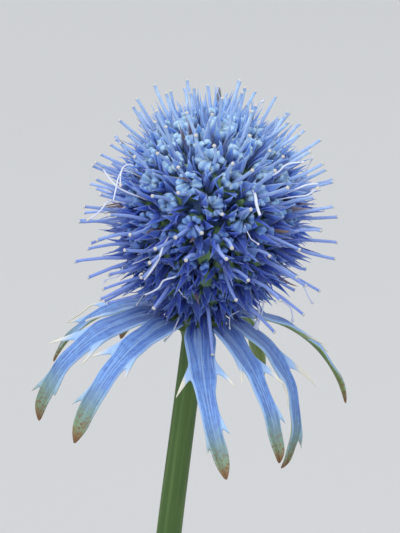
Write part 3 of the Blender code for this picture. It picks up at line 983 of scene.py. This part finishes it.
# Old bracteoles. A few long scales that have withered to a greyish brown. Each row is longitude, latitude,
# size and the turn of its broad side. Longitude 0 is towards -Y and 90 towards +X, from the head's centre.
OLD_BRACTEOLES = ((-176, 73, 1.0, 85), (-88, 55, 0.62, 60), (80, -31, 0.66, 90), (72, -40, 0.62, 40),
                  (-38, 2, 0.5, 0), (52, 8, 0.45, 0), (140, -4, 0.7, 30), (214, 12, 0.66, 70),
                  (180, -24, 0.7, 90))
OLD_BRACTEOLE = ((0.12, 0.2, 0), (0.14, 0.34, 1.4), (0.12, 0.37, 3.0), (0.1, 0.35, 4.0), (0.08, 0.24, 4.9),
                 (0.05, 0.1, 5.5), (0.02, 0.02, 5.8))
OLD_BRACTEOLE_CUP = 0.5
BRACTEOLE_ROOT = 7.4
WITHERED_COLOURS = ((84, 104, 176), (118, 118, 112), (150, 112, 78), (136, 98, 68), (132, 134, 132))


def head_point(longitude, latitude, reach):
    """A point seen from the head's centre: longitude and latitude in degrees, and reach in millimetres."""
    turn, climb = math.radians(longitude), math.radians(latitude)
    out = Vector((math.sin(turn) * math.cos(climb), -math.cos(turn) * math.cos(climb), math.sin(climb)))
    return (out * reach + Vector((0, 0, HEAD_CENTRE))) * MM


def set_up(spot, way):
    """The place of an upright part that stands on a spot and points a way."""
    return Matrix.Translation(spot) @ way.to_track_quat("Z", "Y").to_matrix().to_4x4()


def old_bracteole_places():
    for longitude, latitude, size, turn in OLD_BRACTEOLES:
        root = head_point(longitude, latitude, BRACTEOLE_ROOT)
        turned = Matrix.Rotation(math.radians(turn), 4, "Z")
        yield set_up(root, root - head_point(0, 0, 0)) @ turned @ Matrix.Scale(size, 4), 0.5


old_bracteole = draw_up("old_bracteole", OLD_BRACTEOLE, 6)
bend(old_bracteole, lambda share: 34 * share * share - 6, OLD_BRACTEOLE_CUP)
withered_finish = make_growth_finish("withered_brown", WITHERED_COLOURS, 0.7, 0.2, 0.5, 0.7)
finish_head_piece("old_bracteoles", [old_bracteole], old_bracteole_places(), withered_finish)

# Styles. Two to a floret, long and lavender blue, a little apart and curved, each with a swollen pale tip.
# The older florets low on the head have lost most of theirs.
STYLE = ((0.19, 0.19, 0), (0.17, 0.17, 1.0), (0.15, 0.15, 2.8), (0.135, 0.135, 4.6), (0.135, 0.135, 5.05),
         (0.18, 0.18, 5.12), (0.175, 0.175, 5.21), (0.08, 0.08, 5.25))
STYLE_STAND = (0.16, OVARY_TOP)
STYLE_COLOURS = ((120, 146, 216), (152, 174, 226), (168, 186, 230), (124, 142, 214), (182, 208, 244))
STYLE_TIP = (188, 186, 180)


def style_places():
    for place, height in florets:
        start = chance.uniform(0, math.tau)
        tint = chance.random()
        for k in range(2):
            if chance.random() > 0.2 + 0.95 * height:
                continue
            angle = start + math.pi * k + chance.uniform(-0.4, 0.4)
            stand = around(angle, *STYLE_STAND, chance.uniform(1, 14))
            stretch = Matrix.Scale(chance.uniform(0.76, 0.97) + 0.08 * (1 - height), 4, (0, 0, 1))
            yield place @ stand @ stretch, tint


style_curls = (lambda share: 8 - 10 * share, lambda share: 9 * share, lambda share: 10 - 24 * share,
               lambda share: 14 * math.sin(4 * share))
styles = [bend(draw_up("style", STYLE, 6), curl) for curl in style_curls]
style_finish = make_growth_finish("style_lavender", STYLE_COLOURS, 0.45, 0.5, 0.5, 0.8, STYLE_TIP, 0.965)
finish_head_piece("styles", styles, style_places(), style_finish)

# Spent stamens. Dry whitish threads, some with a cream anther left at the end, that still hang among the
# florets. Most lie anywhere, and those that show most are led along paths of their own, whose points are
# longitude, latitude and reach from the head's centre. Each path starts down among the petals.
FILAMENT_LENGTH = 3.6
FILAMENT = [(0.07, 0.07, FILAMENT_LENGTH * k / 8) for k in range(8)]
FILAMENT += [(0.14, 0.11, FILAMENT_LENGTH - 0.35), (0.15, 0.12, FILAMENT_LENGTH - 0.1),
             (0.06, 0.05, FILAMENT_LENGTH)]
FILAMENT_STAND = (0.4, OVARY_TOP + 1.2)
FILAMENTS_KEPT = 0.3
ANTHER = ((0.05, 0.05, 0), (0.15, 0.12, 0.1), (0.17, 0.13, 0.3), (0.06, 0.05, 0.46))
LED_STAMENS = (  # radius, whether an anther is left, path
    (0.14, False, ((28, 36, 8.0), (28, 36, 9.7), (27, 31, 10.3), (26, 25, 10.5), (27, 20, 10.8))),
    (0.1, False, ((-27, 3, 8.0), (-26, -2, 9.9), (-25, -7, 10.8), (-27, -13, 11.4), (-32, -20, 11.6))),
    (0.08, False, ((-12, -17, 8.0), (-15, -20, 9.9), (-23, -21, 10.6), (-25, -24, 10.6), (-26, -27, 11.0),
                   (-35, -32, 11.3))),
    (0.08, True, ((38, 41, 8.2), (42, 41, 10.0), (48, 41, 10.9), (53, 44, 11.6), (58, 41, 12.6))),
    (0.07, False, ((-66, 30, 8.4), (-73, 29, 10.6), (-66, 24, 11.2), (-61, 19, 11.4), (-58, 13, 11.6))),
    (0.07, True, ((-52, 19, 8.2), (-58, 19, 9.8), (-67, 18, 11.0), (-76, 23, 12.2))),
    (0.08, True, ((-60, 27, 8.2), (-76, 35, 10.4), (-70, 27, 11.1), (-59, 22, 11.4))),
    (0.07, True, ((-66, 10, 8.4), (-72, 12, 10.8), (-66, 5, 11.6), (-70, 0, 12.4))),
    (0.09, False, ((52, 30, 8.4), (56, 30, 11.0), (62, 31, 11.8), (68, 29, 12.4))),
    (0.07, True, ((52, 28, 8.4), (57, 27, 11.0), (61, 25, 11.4), (66, 27, 12.2))),
    (0.12, False, ((50, -46, 8.4), (58, -44, 9.8), (64, -52, 11.0), (68, -58, 11.8))),
    (0.08, True, ((58, -36, 8.4), (66, -38, 10.6), (72, -36, 12.0), (74, -41, 13.0))),
    (0.08, True, ((72, -22, 8.6), (78, -24, 11.0), (76, -29, 12.6), (80, -31, 13.2))),
    (0.09, False, ((130, 20, 8.4), (134, 26, 10.8), (128, 33, 11.4), (136, 38, 12.4))),
    (0.1, True, ((196, 8, 8.4), (200, 3, 10.6), (193, -3, 11.2), (201, -8, 12.2))),
    (0.09, False, ((158, -12, 8.4), (163, -16, 10.4), (156, -22, 11.0), (150, -20, 11.8))),
)
THREAD_GROWTH = 0.85  # a led thread stops short of the anther's cream
THREAD_TINT = 0.8
ANTHER_TINT = 0.6
FILAMENT_COLOURS = ((176, 186, 216), (216, 222, 236), (214, 198, 156), (190, 198, 226), (216, 224, 236))


def filament_places():
    for place, _ in florets:
        if chance.random() > FILAMENTS_KEPT:
            continue
        stand = around(chance.uniform(0, math.tau), *FILAMENT_STAND, chance.uniform(20, 80))
        yield place @ stand @ Matrix.Scale(chance.uniform(0.6, 1.0), 4), chance.random()


def lead_thread(radius, path):
    """A thread led along its path as a curve, thinner towards its root."""
    start_fresh()
    bpy.ops.curve.primitive_nurbs_path_add()
    thread = bpy.context.object
    thread.name = "led_thread"
    line = thread.data.splines[0]
    line.points.add(max(0, len(path) - len(line.points)))
    for k, point in enumerate(line.points):
        share = k / (len(line.points) - 1)
        spot = min(share * (len(path) - 1), len(path) - 1 - 1e-6)
        before = head_point(*path[int(spot)])
        point.co = (*before.lerp(head_point(*path[int(spot) + 1]), spot - int(spot)), 1)
        point.radius = 0.7 + 0.5 * math.sin(2.4 * share)
    line.order_u = 3
    thread.data.resolution_u = 3
    thread.data.bevel_depth = radius * MM
    thread.data.bevel_resolution = 1
    thread.data.use_fill_caps = True
    bpy.ops.object.convert(target="MESH")
    thread = bpy.context.object
    count = len(thread.data.vertices)
    mark(thread, "growth", [THREAD_GROWTH * k / count for k in range(count)])
    mark(thread, "tint", [THREAD_TINT] * count)
    return thread


def add_led_stamens(whole):
    """Joins the led stamens, and the anthers at their ends, to the others."""
    anther = draw_up("anther", ANTHER, 6)
    pieces = [whole]
    for radius, keeps_anther, path in LED_STAMENS:
        pieces.append(lead_thread(radius, path))
        if keeps_anther:
            end, before = head_point(*path[-1]), head_point(*path[-2])
            left = copy_to(anther, [(set_up(end, end - before), ANTHER_TINT)], "led_anther")
            mark(left, "growth", [1.0] * len(left.data.vertices))
            pieces.append(left)
    bpy.data.objects.remove(anther)
    return join_all(pieces, whole.name)


filament_curls = (lambda share: 30 * share, lambda share: 60 if share < 0.45 else -10,
                  lambda share: 40 * math.sin(7 * share), lambda share: -30 if share < 0.6 else 50)
filaments = [bend(draw_up("filament", FILAMENT, 5), curl) for curl in filament_curls]
filament_finish = make_growth_finish("filament_white", FILAMENT_COLOURS, 0.5, 0.1, 0.3, 0.88)
finish_head_piece("spent_stamens", filaments, filament_places(), filament_finish, add_led_stamens)

# Floor, light and camera. A pale floor some metres across in a pale room, a broad soft lamp above and a
# weaker one in front, and a camera that looks 18 degrees down along +Y at the head.
FLOOR_SIZE = 4.5
FLOOR_SHADE = srgb(188, 188, 187)
FLOOR_PALE = srgb(195, 195, 194)
ROOM_LIGHT = srgb(226, 230, 236)
ROOM_STRENGTH = 1.05
LIT_SPOT = (10, 0, 110)
CAMERA_TILT = math.radians(18)
CAMERA_DISTANCE = 350
VIEW_HEIGHT = 53.3
AIM_RIGHT = 0.27
AIM_UP = 4.15
SENSOR = 36

start_fresh()
bpy.ops.mesh.primitive_plane_add(size=FLOOR_SIZE)
floor = bpy.context.object
floor.name = "pale_floor"
floor_finish, floor_tree = new_material("pale_floor")
floor_noise = noise(floor_tree, object_place(floor_tree), 3.0, 2.0)
floor_colour = mixed_colour(floor_tree, floor_noise, FLOOR_SHADE, FLOOR_PALE)
floor_shader = add_node(floor_tree, "BsdfPrincipled", {"Base Color": floor_colour, "Roughness": 0.8})
floor.data.materials.append(close_material(floor_finish, floor_tree, floor_shader))
floor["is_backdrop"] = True

world = bpy.data.worlds.new("pale_room")
world.use_nodes = True
background = world.node_tree.nodes["Background"].inputs
background["Color"].default_value = ROOM_LIGHT
background["Strength"].default_value = ROOM_STRENGTH
bpy.context.scene.world = world


def add_lamp(name, place, width, power):
    bpy.ops.object.light_add(type="AREA", location=[c * MM for c in place])
    lamp = bpy.context.object
    lamp.name = name
    lamp.data.size = width * MM
    lamp.data.energy = power
    lamp.rotation_euler = (Vector(LIT_SPOT) - Vector(place)).to_track_quat("-Z", "Y").to_euler()


add_lamp("lamp_above", (-300, -450, 1900), 1300, 17)
add_lamp("lamp_front", (-250, -1500, 1000), 1200, 8)

look_up = Vector((0, math.sin(CAMERA_TILT), math.cos(CAMERA_TILT)))
look_back = Vector((0, -math.cos(CAMERA_TILT), math.sin(CAMERA_TILT)))
aim = stem_frame.translation + (Vector((AIM_RIGHT, 0, 0)) + look_up * AIM_UP) * MM
bpy.ops.object.camera_add(location=aim + look_back * CAMERA_DISTANCE * MM)
camera = bpy.context.object
camera.rotation_euler = (math.pi / 2 - CAMERA_TILT, 0, 0)
camera.data.sensor_width = SENSOR
camera.data.lens = SENSOR * CAMERA_DISTANCE / VIEW_HEIGHT
camera.data.clip_start = 0.01
camera.data.clip_end = 20
bpy.context.scene.camera = camera
bpy.context.scene.view_settings.view_transform = "Standard"

[[list(corner) for corner in box] for box in (packed_size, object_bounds())]
